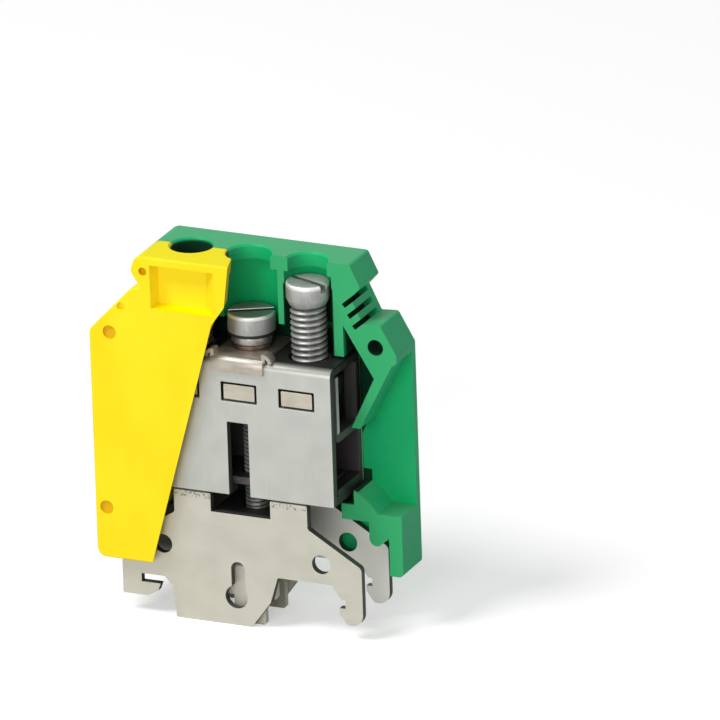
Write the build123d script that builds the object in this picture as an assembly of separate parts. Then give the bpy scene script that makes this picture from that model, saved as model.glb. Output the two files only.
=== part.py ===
from build123d import *
import math
import os

# Earth terminal block for a top-hat rail, lengths in millimetres.
# X runs along the block, Y along the rail, and Z up from the foot's lowest edge.
os.makedirs("parts", exist_ok=True)

# Housing
length = 50.0
width = 15.2
height = 61.5
housing_bottom = 9.4
front_wall = 1.1
back_wall = 1.6
top_wall = 2.4
side_wall = 2.3
channel_wall = 1.15
head_clearance = 0.9
rib_wall = 1.8
funnel_wall = 1.5
top_length = 34.6
left_top_inset = 0.6
left_top_round = 1.8
bottom_round = 1.5
rim_round = 0.25
shoulder_drop = 14.4
left_shoulder_drop = 13.5
pocket_clearance = 0.8
seat_clearance = 0.15
metal_clearance = 0.2
pocket_drop = 10.4
pocket_reach = 4.2
pocket_rise = 8.8

# Marker groove on the right shoulder and its comb
groove_lobe = 1.8
groove_lobe_drop = 3.7
groove_top_drop = 5.6
groove_low_drop = 9.8
groove_low_reach = 2.1
groove_step = 2.9
comb_slot = 0.8
comb_depth = 1.9
comb_count = 3
comb_angle = 40.0

# Marker notch on the left shoulder
notch_drop = 4.3
notch_height = 1.5
notch_depth = 2.0

# Screws
clamp_pitch = 10.0
clamp_thread = 6.0
clamp_head = 7.0
clamp_head_height = 2.7
clamp_head_gap = 1.1
clamp_taper = 1.0
clamp_slot_width = 1.1
clamp_slot_depth = 1.2
clamp_slot_angle = -20.0
foot_thread = 4.0
foot_head = 7.7
foot_head_height = 3.7
foot_slot_width = 1.2
foot_slot_depth = 1.5
foot_slot_angle = 28.0
thread_clearance = 0.05
hole_clearance = 0.4
driver_hole = 6.8
foot_driver_hole = 7.2

# Cage that holds the conductors
cage_length = 32.0
cage_sheet = 1.4
cage_bend = 1.2
window_length = 6.2
window_height = 3.3
window_drop = 5.6
cage_slot = 3.7
cage_slot_offset = -0.4
cage_slot_height = 12.4
bottom_opening = 9.6

# Nut bar, conductor bar and pressure pads
nut_bar_height = 3.2
nut_bar_length = 27.6
tab_clearance = 0.4
bar_height = 1.2
bar_overhang = 0.2
bar_groove = 0.3
bar_groove_pitch = 1.6
pad_sheet = 1.3
pad_leg = 0.9
pad_leg_length = 2.1
pad_inner = 4.4
pad_rest_gap = 0.2
pad_nut_gap = 4.1
clamp_stop_gap = 2.3
slide_clearance = 0.1

# Washers and bridge plate under the foot screw
bridge_sheet = 0.6
bridge_length = 9.0
bridge_flap = 2.0
bridge_ear = 1.4
bridge_ear_width = 1.8
plain_washer_height = 0.8
plain_washer_size = 6.4
lock_washer_height = 1.4
lock_washer_size = 7.2
lock_washer_gap = 0.8

# Rail that the foot grips
rail_offset = -0.4
rail_width = 35.0
rail_channel = 27.0
rail_height = 7.5
rail_sheet = 1.0
rail_clearance = 0.2

# Foot
foot_height = 22.2
foot_sheet = 1.2
hook_wall = 3.6
left_lip = 3.0
right_lip = 0.75
hook_bottom = 3.0
leg_bottom = 2.5
lug_outer = 11.6
lug_inner = 5.2
lug_height = 2.6
shoulder_top = 18.0
shoulder_low = 12.4
web_drop = 3.3
foot_hole = 3.2
foot_hole_pitch = 27.6
foot_hole_height = 12.3
tongue_right = 1.3
tongue_slope = 3.4
opening_height = 9.0
keyhole_round = 3.9
keyhole_slot = 2.4
keyhole_height = 4.8
keyhole_top = 9.6
keyhole_offset = -0.8
keyhole_round_offset = -1.2

# Nut and pressure piece inside the foot
foot_nut_length = 8.0
foot_nut_height = 3.2
press_top = 10.0
press_sheet = 1.0
press_length = 9.6
press_neck = 5.4
press_shoulder = 4.6

# Moulded pegs and marks
peg = 2.6
peg_length = 3.0
peg_clearance = 0.05
upper_peg_x = 21.4
upper_peg_drop = 13.5
lower_peg_x = 23.0
lower_peg_z = 18.0
mark_depth = 0.4
mark_size = 1.4
lug_drop = 4.0
lug_reach = 3.4

# Screw pocket on the cover's face
recess_depth = 2.6
recess_slope = 2.5
recess_height = 7.3
recess_drop = 1.3
recess_margin = 0.6

# Line along which the cover is cut away
cut_bottom = -15.3
cut_knee = -3.5
cut_knee_drop = 10.1
cut_step = -1.2
cut_step_drop = 6.9
cut_top = -0.2
cut_slant = 0.28

# Heights that follow from the sizes above
half = width / 2
cage_width = 2 * (half - back_wall - metal_clearance)
foot_width = cage_width
rail_top = rail_height - rail_sheet
cage_low = foot_height
bar_top = cage_low + cage_sheet + bar_height
channel_top = height - top_wall
clamp_head_top = channel_top - clamp_head_gap
clamp_head_low = clamp_head_top - clamp_head_height
# The screw's travel above the cage equals the pad's travel inside it
nut_bar_drop = window_drop - nut_bar_height / 2
inner_stack = nut_bar_drop + nut_bar_height + pad_nut_gap + pad_sheet + pad_rest_gap
cage_top = (clamp_head_low - clamp_stop_gap + inner_stack + bar_top) / 2
clamp_travel = clamp_head_low - clamp_stop_gap - cage_top
pad_low = bar_top + clamp_travel + pad_rest_gap
pad_high = pad_low + pad_sheet
nut_bar_high = cage_top - nut_bar_drop
nut_bar_low = nut_bar_high - nut_bar_height
bridge_high = cage_top + bridge_sheet
plain_washer_high = bridge_high + plain_washer_height
lock_washer_high = plain_washer_high + lock_washer_height
web_top = foot_height - web_drop
web_low = web_top - foot_sheet
pocket = cage_length / 2 + pocket_clearance
side_inner = length / 2 - side_wall
foot_channel = foot_head / 2 + head_clearance
clamp_channel = clamp_pitch - foot_channel - channel_wall
rib_low = lock_washer_high + 1.9
roof_low = pad_low + 1.2
floor_high = cage_low + 1.0
floor_low = floor_high - 3.5
ledge_high = cage_low - cage_sheet
floor_under = floor_low - funnel_wall


def outline(*corners):
    """Closed face through corners (x, z), each with a rounding radius as an optional third value."""
    face = Polygon(*[corner[:2] for corner in corners], align=None)
    for corner in corners:
        if len(corner) == 3:
            vertex = face.vertices().sort_by_distance(Vector(corner[0], corner[1], 0))[0]
            face = fillet(vertex, corner[2])
    return face


def slab(profile, y_start, y_end):
    """Profile in X and Z, made solid from one Y to another."""
    low, high = sorted((y_start, y_end))
    return extrude(Plane.XZ.offset(-low) * profile, amount=high - low, dir=(0, 1, 0))


def block(x, y, z):
    """Box between pairs of limits."""
    return Pos(sum(x) / 2, sum(y) / 2, sum(z) / 2) * Box(x[1] - x[0], y[1] - y[0], z[1] - z[0])


def rod(diameter, x, z_low, z_high, y=0.0):
    """Upright round bar."""
    return Pos(x, y, (z_low + z_high) / 2) * Cylinder(diameter / 2, z_high - z_low)


def cross_rod(diameter, x, z, y_start, y_end):
    """Round bar along Y."""
    low, high = sorted((y_start, y_end))
    return Pos(x, (low + high) / 2, z) * Rot(90, 0, 0) * Cylinder(diameter / 2, high - low)


# Housing halves

top_half = top_length / 2
left_top = left_top_inset - top_half
groove_top = (top_half + 0.1, height - groove_top_drop)
groove_low = (top_half + groove_low_reach, height - groove_low_drop)


def housing_outline():
    """Outer shape of both halves, marker notch on the left and marker groove on the right."""
    end = length / 2
    notch_z = height - notch_drop
    notch_low = notch_z - notch_height
    return outline(
        (-end, housing_bottom, bottom_round),
        (end, housing_bottom, bottom_round / 2),
        (end, height - shoulder_drop, 0.8),
        (groove_low[0] + groove_step, groove_low[1] + 0.2, 0.6),
        groove_low,
        groove_top,
        (top_half + groove_lobe, height - groove_lobe_drop, 0.5),
        (top_half, height, 0.6),
        (left_top, height, left_top_round),
        (left_top - 0.7, notch_z + 1.6, 0.8),
        (left_top + 0.2, notch_z, 0.3),
        (left_top + notch_depth - 0.6, notch_low + 0.6, 0.3),
        (left_top - 0.9, notch_low),
        (-end, height - left_shoulder_drop, 1.5),
    )


def side_pocket(side):
    """Deep pocket between the screw channel, the web and the funnel roof."""
    channel_side = clamp_pitch + clamp_channel + rib_wall
    return Polygon(
        (side * channel_side, height - pocket_drop),
        (side * (pocket + pocket_reach), roof_low + pocket_rise),
        (side * pocket, roof_low - 0.1),
        (side * pocket, cage_top + 0.5),
        (side * channel_side, cage_top + 0.5),
        align=None,
    )


def funnel(side):
    """Conductor entry that opens out towards the block's end."""
    end = length / 2
    ramp_end = pocket + 4.0
    edge = Polyline(
        (side * pocket, floor_high),
        (side * pocket, roof_low),
        (side * (pocket + 1.5), roof_low),
        (side * (end - 0.9), height - shoulder_drop - 2.0),
        (side * (end + 1), height - shoulder_drop - 0.6),
        (side * (end + 1), floor_low),
        (side * ramp_end, floor_low),
    )
    ramp = ThreePointArc(
        (side * ramp_end, floor_low),
        (side * (pocket + 2.2), floor_high - 1.4),
        (side * pocket, floor_high),
    )
    return make_face(edge + ramp)


def cavity():
    """Everything that is hollow behind the parting plane."""
    ledge = pocket - 2.2
    hollow = Pos(0, (ledge_high + cage_top + 0.5) / 2) * Rectangle(2 * pocket, cage_top + 0.5 - ledge_high)
    hollow += Pos(0, (floor_under + ledge_high) / 2) * Rectangle(2 * ledge, ledge_high - floor_under + 0.02)
    open_end = housing_bottom - 2
    hollow += Pos(0, (open_end + floor_under) / 2) * Rectangle(2 * side_inner, floor_under - open_end)
    outer = clamp_pitch + clamp_channel
    hollow += Pos(0, (cage_top + rib_low) / 2) * Rectangle(2 * outer, rib_low - cage_top)
    for side in (-1, 1):
        hollow += side_pocket(side)
        hollow += funnel(side)
    return hollow


def housing_half(side, wall):
    """One moulded half, from the parting plane to its outer wall on the given side."""
    body = slab(housing_outline(), 0, side * half)
    rim = body.faces().sort_by(Axis.Y)[-1 if side > 0 else 0].edges()
    body = chamfer(rim, rim_round)
    body -= slab(cavity(), 0, side * (half - wall))
    for x, radius in ((-clamp_pitch, clamp_channel), (0, foot_channel), (clamp_pitch, clamp_channel)):
        body -= rod(2 * radius, x, rib_low - 0.01, channel_top)
    for x, bore in ((-clamp_pitch, driver_hole), (0, foot_driver_hole), (clamp_pitch, driver_hole)):
        body -= rod(bore, x, channel_top - 1, height + 1)
        body -= Pos(x, 0, height - 0.15) * Cone(bore / 2, bore / 2 + 0.4, 0.4)
    lug_y = side * (foot_width / 2 - foot_sheet - seat_clearance)
    for end in (-1, 1):
        tip = side_inner - lug_reach
        low = floor_under - lug_drop
        lug = outline(
            (end * tip, floor_under + 0.3),
            (end * tip, low, 1.2),
            (end * (tip + 1.6), low, 1.0),
            (end * (side_inner + 0.3), low + 1.8),
            (end * (side_inner + 0.3), floor_under + 0.3),
        )
        body += slab(lug, 0, lug_y)
    foot_boss = Pos(-lower_peg_x, lower_peg_z) * Circle(peg / 2 + 0.6)
    return body + slab(foot_boss, 0, side * (half - wall))


def peg_places():
    """Pegs below both shoulders, and one in the left column."""
    upper_z = height - upper_peg_drop
    return [(-upper_peg_x, upper_z), (upper_peg_x, upper_z), (-lower_peg_x, lower_peg_z)]


def green_housing():
    """Rear half, whole, with the peg holes and the comb in the marker groove."""
    body = housing_half(1, back_wall)
    for x, z in peg_places():
        body -= cross_rod(peg + 2 * peg_clearance, x, z, -1, peg_length + 0.3)
    for index in range(comb_count):
        share = (index + 0.15) / (comb_count - 0.6)
        x = groove_top[0] + share * (groove_low[0] - groove_top[0])
        z = groove_top[1] + share * (groove_low[1] - groove_top[1])
        slot = Pos(x, z) * Rot(0, 0, comb_angle) * Rectangle(2 * comb_depth, comb_slot)
        body -= slab(slot, -1, half - back_wall)
    return body


def yellow_cover():
    """Front half, cut away on a slant from the left channel down to the foot."""
    body = housing_half(-1, front_wall)
    ramp = Plane.YZ.offset(-length / 2 + 0.5) * Polygon(
        (0, floor_low - 0.1), (-half + 0.5, floor_low - 0.1), (-half + 0.5, floor_high), align=None)
    body += extrude(ramp, amount=length / 2 - 0.5 - pocket - 1.5, dir=(1, 0, 0))
    for x, z in peg_places():
        body += cross_rod(peg, x, z, -2, peg_length)
        body -= cross_rod(peg - 0.3, x, z, -half - 1, -half + mark_depth)
    top = height - recess_drop
    left = -clamp_pitch - clamp_channel
    right = -foot_channel - recess_margin
    recess = Plane.XY.offset(top - recess_height) * Polygon(
        (left, -half - 1),
        (left + 0.4, -half + recess_depth),
        (right, -half + recess_depth),
        (right + recess_slope, -half),
        (right + recess_slope, -half - 1),
        align=None,
    )
    body -= extrude(recess, amount=recess_height, dir=(0, 0, 1))
    for x, z in ((left_top + 1.5, height - 2.5), (-top_half - 1.9, height - 8.9)):
        body -= cross_rod(mark_size, x, z, -half - 1, -half + 2 * mark_depth)
    lost = outline(
        (cut_bottom - 4, housing_bottom - 14),
        (cut_knee, height - cut_knee_drop, 1.0),
        (cut_step, height - cut_step_drop, 1.0),
        (cut_top, height + 1),
        (length, height + 1),
        (length, housing_bottom - 14),
    )
    start = Plane.XZ.offset(half + 1) * Pos(cut_slant, 0) * lost
    return body - extrude(start, amount=half + peg_length + 2, dir=(-cut_slant, 1, 0))


# Cage

def cage():
    """Sheet folded round the conductors, its front edge meeting its floor in a square corner."""
    half_length = cage_length / 2
    half_width = cage_width / 2
    inner = half_width - cage_sheet
    body = block((-half_length, half_length), (-half_width, half_width), (cage_low, cage_top))
    bends = body.edges().filter_by(Axis.X)
    seam_edge = bends.sort_by(Axis.Z)[:2].sort_by(Axis.Y)[0]
    body = fillet(ShapeList([edge for edge in bends if edge != seam_edge]), cage_bend)
    body -= block((-half_length - 1, half_length + 1), (-inner, inner),
                  (cage_low + cage_sheet, cage_top - cage_sheet))
    window_z = cage_top - window_drop
    for x in (-clamp_pitch, 0, clamp_pitch):
        window = Pos(x, window_z) * Rectangle(window_length, window_height)
        body -= slab(window, -half_width - 1, half_width + 1)
    body -= block((cage_slot_offset - cage_slot / 2, cage_slot_offset + cage_slot / 2),
                  (-half_width - 1, -inner + 0.01), (cage_low - 1, cage_low + cage_slot_height))
    body -= block((-bottom_opening / 2, bottom_opening / 2), (-inner, foot_thread / 2 + 1),
                  (cage_low - 1, cage_low + cage_sheet + 0.01))
    for x in (-clamp_pitch, clamp_pitch):
        body -= rod(clamp_thread + 2 * hole_clearance, x, cage_top - cage_sheet - 1, cage_top + 1)
    body -= rod(foot_thread + 2 * hole_clearance, 0, cage_top - cage_sheet - 1, cage_top + 1)
    return body


def nut_bar():
    """Threaded bar whose tabs stand in the cage's windows."""
    inner = cage_width / 2 - cage_sheet - slide_clearance
    body = block((-nut_bar_length / 2, nut_bar_length / 2), (-inner, inner), (nut_bar_low, nut_bar_high))
    tab_half = window_length / 2 - tab_clearance
    tab_z = cage_top - window_drop
    tab_rise = window_height / 2 - tab_clearance
    for x in (-clamp_pitch, 0, clamp_pitch):
        body += block((x - tab_half, x + tab_half), (-cage_width / 2 + 0.1, cage_width / 2 - 0.1),
                      (tab_z - tab_rise, tab_z + tab_rise))
    for x in (-clamp_pitch, clamp_pitch):
        body -= rod(clamp_thread, x, nut_bar_low - 1, nut_bar_high + 1)
    body -= rod(foot_thread + 2 * hole_clearance, 0, nut_bar_low - 1, nut_bar_high + 1)
    return body


def contact_bar():
    """Bar on the cage's floor that the conductors are pressed against."""
    reach = cage_length / 2 + bar_overhang
    inner = cage_width / 2 - cage_sheet - slide_clearance
    low = cage_low + cage_sheet
    body = block((-reach, reach), (-inner, inner), (low, bar_top))
    body -= rod(foot_thread + 2 * hole_clearance, 0, low - 1, bar_top + 1)
    grooves = int((reach - pad_inner - 1.5) / bar_groove_pitch)
    for side in (-1, 1):
        for index in range(grooves):
            x = side * (pad_inner + 1.5 + index * bar_groove_pitch)
            cut = Polygon((x - bar_groove, bar_top + 0.01), (x, bar_top - bar_groove),
                          (x + bar_groove, bar_top + 0.01), align=None)
            body -= slab(cut, -inner - 1, inner + 1)
    return body


def pressure_pad(side):
    """Plate pushed down by the clamp screw, with two guide legs at the entry."""
    reach = cage_length / 2 + bar_overhang + 0.1
    inner = cage_width / 2 - cage_sheet - slide_clearance
    leg_start = reach - pad_leg_length
    low_x, high_x = sorted((side * pad_inner, side * reach))
    body = block((low_x, high_x), (-inner, inner), (pad_low, pad_high))
    leg_x = sorted((side * leg_start, side * reach))
    leg_top = cage_top - cage_sheet - pad_rest_gap
    for face in (-1, 1):
        body += block(leg_x, sorted((face * inner, face * (inner - pad_leg))), (pad_low, leg_top))
    edges = body.edges().filter_by(Axis.X).group_by(Axis.Z)[0]
    return fillet(edges, pad_sheet * 0.45)


# Screws

def screw(x, head, head_low, head_height, shank, tip, slot_width, slot_depth, slot_angle, taper=0):
    """Slotted screw with a plain shank of the thread's outer size, and a taper under some heads."""
    head_top = head_low + head_height
    body = rod(head, x, head_low, head_top)
    rims = body.edges().filter_by(GeomType.CIRCLE).sort_by(Axis.Z)
    body = chamfer(rims[-1:] if taper else rims, head_height * 0.12)
    if taper:
        body += Pos(x, 0, head_low - taper / 2) * Cone(shank / 2, head / 2, taper)
    stem = rod(shank, x, tip, head_low + 0.5)
    stem = chamfer(stem.edges().filter_by(GeomType.CIRCLE).sort_by(Axis.Z)[:1], shank * 0.12)
    body += stem
    cut = Pos(x, 0, head_top - slot_depth / 2 + 0.5) * Rot(0, 0, slot_angle)
    return body - cut * Box(2 * head, slot_width, slot_depth + 1)


def clamp_screw(side):
    return screw(side * clamp_pitch, clamp_head, clamp_head_low, clamp_head_height,
                 clamp_thread - 2 * thread_clearance, pad_high,
                 clamp_slot_width, clamp_slot_depth, clamp_slot_angle, clamp_taper)


def foot_screw():
    return screw(0, foot_head, lock_washer_high, foot_head_height, foot_thread - 2 * thread_clearance,
                 press_top, foot_slot_width, foot_slot_depth, foot_slot_angle)


def lock_washer():
    """Split spring ring, pressed flat."""
    body = rod(lock_washer_size, 0, plain_washer_high, lock_washer_high)
    body -= rod(foot_thread + hole_clearance, 0, plain_washer_high - 1, lock_washer_high + 1)
    middle = (plain_washer_high + lock_washer_high) / 2
    gap = Pos(lock_washer_size / 2 - 0.4, -1.2, middle) * Rot(0, 0, -20) * Rot(25, 0, 0)
    return body - gap * Box(4, lock_washer_gap, 4 * lock_washer_height)


def plain_washer():
    body = rod(plain_washer_size, 0, bridge_high, plain_washer_high)
    body = chamfer(body.edges().filter_by(GeomType.CIRCLE).sort_by(Axis.Z)[-1:], plain_washer_height * 0.2)
    return body - rod(foot_thread + hole_clearance, 0, bridge_high - 1, plain_washer_high + 1)


def bridge_plate():
    """Folded plate on the cage's top, with a flap down the front and one curled ear."""
    front = cage_width / 2 + slide_clearance / 2 + bridge_sheet
    back = cage_width / 2 - cage_bend / 2
    low = cage_top - bridge_flap
    body = block((-bridge_length / 2, bridge_length / 2), (-front, back), (low, bridge_high))
    fold = body.edges().filter_by(Axis.X).sort_by(Axis.Z)[-2:].sort_by(Axis.Y)[0]
    body = fillet(fold, cage_bend + bridge_sheet / 2)
    void = block((-bridge_length, bridge_length), (-front + bridge_sheet, back + 1), (low - 1, cage_top))
    body -= fillet(void.edges().filter_by(Axis.X).sort_by(Axis.Z)[-2:].sort_by(Axis.Y)[0], cage_bend * 0.7)
    for side in (-1, 1):
        root = side * (bridge_length / 2 - 0.05)
        curl = Pos(root, cage_top) * (Circle(bridge_ear) - Circle(bridge_ear - bridge_sheet))
        curl_middle = Pos(root + side * bridge_ear / 2, cage_top + bridge_ear / 2)
        curl &= curl_middle * Rectangle(bridge_ear, bridge_ear)
        body += slab(curl, -cage_width / 2, -cage_width / 2 + bridge_ear_width)
        step = Pos(root, cage_top + bridge_ear / 2) * Rectangle(bridge_sheet, bridge_ear)
        body += slab(step, -cage_width / 2, -cage_width / 2 + bridge_ear_width)
    return body - rod(foot_thread + 2 * hole_clearance, 0, cage_top - 1, bridge_high + 1)


# Foot

def foot_outline():
    """Front and rear plate: hooks round the rail's flanges and a tongue in its channel."""
    tip = rail_width / 2
    tongue_left = rail_channel / 2 - rail_sheet - 0.7
    slot_high = rail_top + rail_clearance
    slot_low = rail_top - rail_sheet - rail_clearance
    outer = tip + hook_wall
    corners = [
        (lug_outer, foot_height, 0.5),
        (lug_outer, shoulder_top, 0.6),
        (outer - 0.3, shoulder_low, 1.0),
        (outer - 0.3, leg_bottom, 2.0),
        (tip + 0.6, leg_bottom, 0.8),
        (tip - right_lip, leg_bottom + 1.8, 0.3),
        (tip - right_lip, slot_low),
        (tip + 0.3, slot_low),
        (tip + 0.3, slot_high),
        (tip - 0.4, slot_high),
        (tip - 2.0, opening_height, 0.6),
        (tongue_right + tongue_slope + 1.4, opening_height, 0.4),
        (tongue_right + tongue_slope, opening_height / 2, 1.0),
        (tongue_right, 0, 1.0),
        (-tongue_left, 0, 0.4),
        (-tongue_left - 0.6, slot_high - 1.4, 0.5),
        (-tongue_left - 1.9, slot_high, 0.5),
        (-tip - 0.3, slot_high),
        (-tip - 0.3, slot_low),
        (-tip + left_lip, slot_low),
        (-tip + left_lip - 0.5, hook_bottom + 1.0, 0.4),
        (-tip + 0.8, hook_bottom, 0.8),
        (-outer, hook_bottom, 0.3),
        (-outer, shoulder_low, 1.0),
        (-lug_outer, shoulder_top, 0.6),
        (-lug_outer, foot_height, 0.5),
        (-lug_inner, foot_height, 0.5),
        (-lug_inner, web_top),
        (lug_inner, web_top),
        (lug_inner, foot_height, 0.5),
    ]
    plate = outline(*corners)
    for side in (-1, 1):
        plate -= Pos(side * foot_hole_pitch / 2, foot_hole_height) * Circle(foot_hole / 2)
    keyhole = Pos(keyhole_round_offset, keyhole_height) * Circle(keyhole_round / 2)
    keyhole += Pos(keyhole_offset, (keyhole_height + keyhole_top) / 2) * Rectangle(
        keyhole_slot, keyhole_top - keyhole_height)
    keyhole += Pos(keyhole_offset, keyhole_top) * Circle(keyhole_slot / 2)
    return Pos(rail_offset, 0) * (plate - keyhole)


def rail_foot():
    """Saddle folded from one sheet: two plates joined by a web that the screw passes."""
    outer = foot_width / 2
    plate = foot_outline()
    body = slab(plate, -outer, -outer + foot_sheet) + slab(plate, outer - foot_sheet, outer)
    body += block((rail_offset - lug_inner, rail_offset + lug_inner), (-outer, outer), (web_low, web_top))
    return body - rod(foot_thread + 2 * hole_clearance, 0, web_low - 1, web_top + 1)


def foot_nut():
    """Nut block held between the foot's plates."""
    reach = foot_width / 2 - foot_sheet - slide_clearance
    body = block((-foot_nut_length / 2, foot_nut_length / 2), (-reach, reach),
                 (web_low - foot_nut_height, web_low))
    body = chamfer(body.edges().filter_by(Axis.Y), 0.4)
    return body - rod(foot_thread, 0, web_low - foot_nut_height - 1, web_low + 1)


def rail_press():
    """Folded piece under the foot screw's tip that bears on the rail's floor."""
    reach = foot_width / 2 - foot_sheet - 3 * slide_clearance
    half_length = press_length / 2
    leg = outline(
        (half_length, press_top),
        (half_length, press_shoulder, 0.5),
        (press_neck / 2, press_shoulder),
        (press_neck / 2, 0, 0.5),
        (-press_neck / 2, 0, 0.5),
        (-press_neck / 2, press_shoulder),
        (-half_length, press_shoulder, 0.5),
        (-half_length, press_top),
    )
    body = slab(leg, -reach, reach)
    body = fillet(body.edges().filter_by(Axis.X).sort_by(Axis.Z)[-2:], press_sheet)
    inner = reach - press_sheet
    return body - block((-press_length, press_length), (-inner, inner), (-1, press_top - press_sheet))


PIECES = {
    "green_housing": green_housing,
    "yellow_cover": yellow_cover,
    "cage": cage,
    "nut_bar": nut_bar,
    "contact_bar": contact_bar,
    "left_pressure_pad": lambda: pressure_pad(-1),
    "right_pressure_pad": lambda: pressure_pad(1),
    "left_clamp_screw": lambda: clamp_screw(-1),
    "right_clamp_screw": lambda: clamp_screw(1),
    "foot_screw": foot_screw,
    "lock_washer": lock_washer,
    "plain_washer": plain_washer,
    "bridge_plate": bridge_plate,
    "rail_foot": rail_foot,
    "foot_nut": foot_nut,
    "rail_press": rail_press,
}

for name, make in PIECES.items():
    export_step(make(), "parts/" + name + ".step")
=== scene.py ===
import bpy
import bmesh
import math
from mathutils import Matrix, Vector


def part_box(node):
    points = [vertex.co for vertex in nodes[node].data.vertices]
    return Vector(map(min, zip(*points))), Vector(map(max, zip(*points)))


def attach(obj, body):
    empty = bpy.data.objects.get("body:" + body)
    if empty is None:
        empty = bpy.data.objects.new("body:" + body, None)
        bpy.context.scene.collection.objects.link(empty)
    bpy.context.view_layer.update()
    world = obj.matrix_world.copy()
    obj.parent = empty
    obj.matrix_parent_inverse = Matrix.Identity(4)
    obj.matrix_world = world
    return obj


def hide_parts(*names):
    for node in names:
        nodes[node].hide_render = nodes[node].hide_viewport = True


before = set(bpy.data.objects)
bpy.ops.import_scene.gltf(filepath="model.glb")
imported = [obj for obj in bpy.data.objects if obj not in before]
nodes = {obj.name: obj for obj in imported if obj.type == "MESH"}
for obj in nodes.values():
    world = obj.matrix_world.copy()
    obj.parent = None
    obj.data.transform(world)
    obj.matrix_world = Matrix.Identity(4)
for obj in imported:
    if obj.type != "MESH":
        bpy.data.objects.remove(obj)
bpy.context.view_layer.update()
mm = 0.001
mergeDistance = 0.000002    # m, within which doubled corners become one
scene = bpy.context.scene
scene.view_settings.view_transform = "Standard"
print("frame loaded:", len(nodes), "solids")


# Camera, at the angle and crop of the photograph
cameraSettings = {
    "azimuth": 24.83,       # degrees round the block, 0 looks along +Y
    "elevation": 20.89,
    "roll": -1.92,
    "distance": 3000.0,     # mm from the aim point
    "scale": 6.302,         # pixels for each mm at the aim point
    "aim": (0.0, 0.0, 31.0),
    "slide": (-16.584, -11.431),    # mm right and up from the picture's middle to the aim point
    "pixels": 720,
    "sensor": 36.0,
    "clip": (0.1, 30.0),    # m
}


def makeCamera(s):
    azimuth, elevation, roll = (math.radians(s[key]) for key in ("azimuth", "elevation", "roll"))
    flat = math.cos(elevation)
    back = Vector((math.sin(azimuth) * flat, -math.cos(azimuth) * flat, math.sin(elevation)))
    level = Vector((math.cos(azimuth), math.sin(azimuth), 0.0))
    upright = back.cross(level)
    right = level * math.cos(roll) + upright * math.sin(roll)
    up = upright * math.cos(roll) - level * math.sin(roll)
    place = Vector(s["aim"]) - right * s["slide"][0] - up * s["slide"][1] + back * s["distance"]
    data = bpy.data.cameras.new("camera")
    data.sensor_width = s["sensor"]
    data.lens = s["scale"] * s["distance"] * s["sensor"] / s["pixels"]
    data.clip_start, data.clip_end = s["clip"]
    camera = bpy.data.objects.new("camera", data)
    turn = Matrix((right, up, back)).transposed().to_4x4()
    camera.matrix_world = Matrix.Translation(place * mm) @ turn
    scene.collection.objects.link(camera)
    scene.camera = camera


makeCamera(cameraSettings)
print("camera made")


# Node trees, with sums written as they are on paper

class Wire:  # a node's output that sums can be written on
    def __init__(self, tree, socket):
        self.tree = tree
        self.socket = socket

    def sum(self, operation, first, second=0.0):
        return self.tree.add("ShaderNodeMath", {"operation": operation}, {0: first, 1: second})["Value"]

    def __add__(self, other):
        return self.sum("ADD", self, other)

    def __sub__(self, other):
        return self.sum("SUBTRACT", self, other)

    def __rsub__(self, other):
        return self.sum("SUBTRACT", other, self)

    def __mul__(self, other):
        return self.sum("MULTIPLY", self, other)

    def __truediv__(self, other):
        return self.sum("DIVIDE", self, other)

    def __gt__(self, other):
        return self.sum("GREATER_THAN", self, other)

    def __lt__(self, other):
        return self.sum("LESS_THAN", self, other)

    def __abs__(self):
        return self.sum("ABSOLUTE", self)

    __radd__ = __add__
    __rmul__ = __mul__

    def unary(self, operation):
        return self.sum(operation, self)

    def least(self, other):
        return self.sum("MINIMUM", self, other)

    def most(self, other):
        return self.sum("MAXIMUM", self, other)

    def ramp(self, low, high):  # 0 at low, 1 at high, smooth between
        values = {"Value": self, "From Min": low, "From Max": high}
        return self.tree.add("ShaderNodeMapRange", {"interpolation_type": "SMOOTHSTEP"}, values)["Result"]


class Tree:  # a node tree, for a material or for geometry
    def __init__(self, tree):
        self.tree = tree

    def add(self, kind, settings=None, values=None):
        node = self.tree.nodes.new(kind)
        for key, value in (settings or {}).items():
            setattr(node, key, value)
        for key, value in (values or {}).items():
            socket = self.find(node.inputs, key)
            for one in value if isinstance(value, list) else [value]:
                if isinstance(one, Wire):
                    self.tree.links.new(one.socket, socket)
                else:
                    socket.default_value = one
        return {socket.name: Wire(self, socket) for socket in reversed(node.outputs) if socket.enabled}

    def find(self, sockets, key):
        if isinstance(key, int):
            return sockets[key]
        return next(socket for socket in sockets if socket.name == key and socket.enabled)


def srgb(red, green, blue):  # a screen colour, 0 to 255, as the renderer's
    parts = [c / 255 for c in (red, green, blue)]
    return tuple(c / 12.92 if c <= 0.04045 else ((c + 0.055) / 1.055) ** 2.4 for c in parts) + (1.0,)


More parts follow.
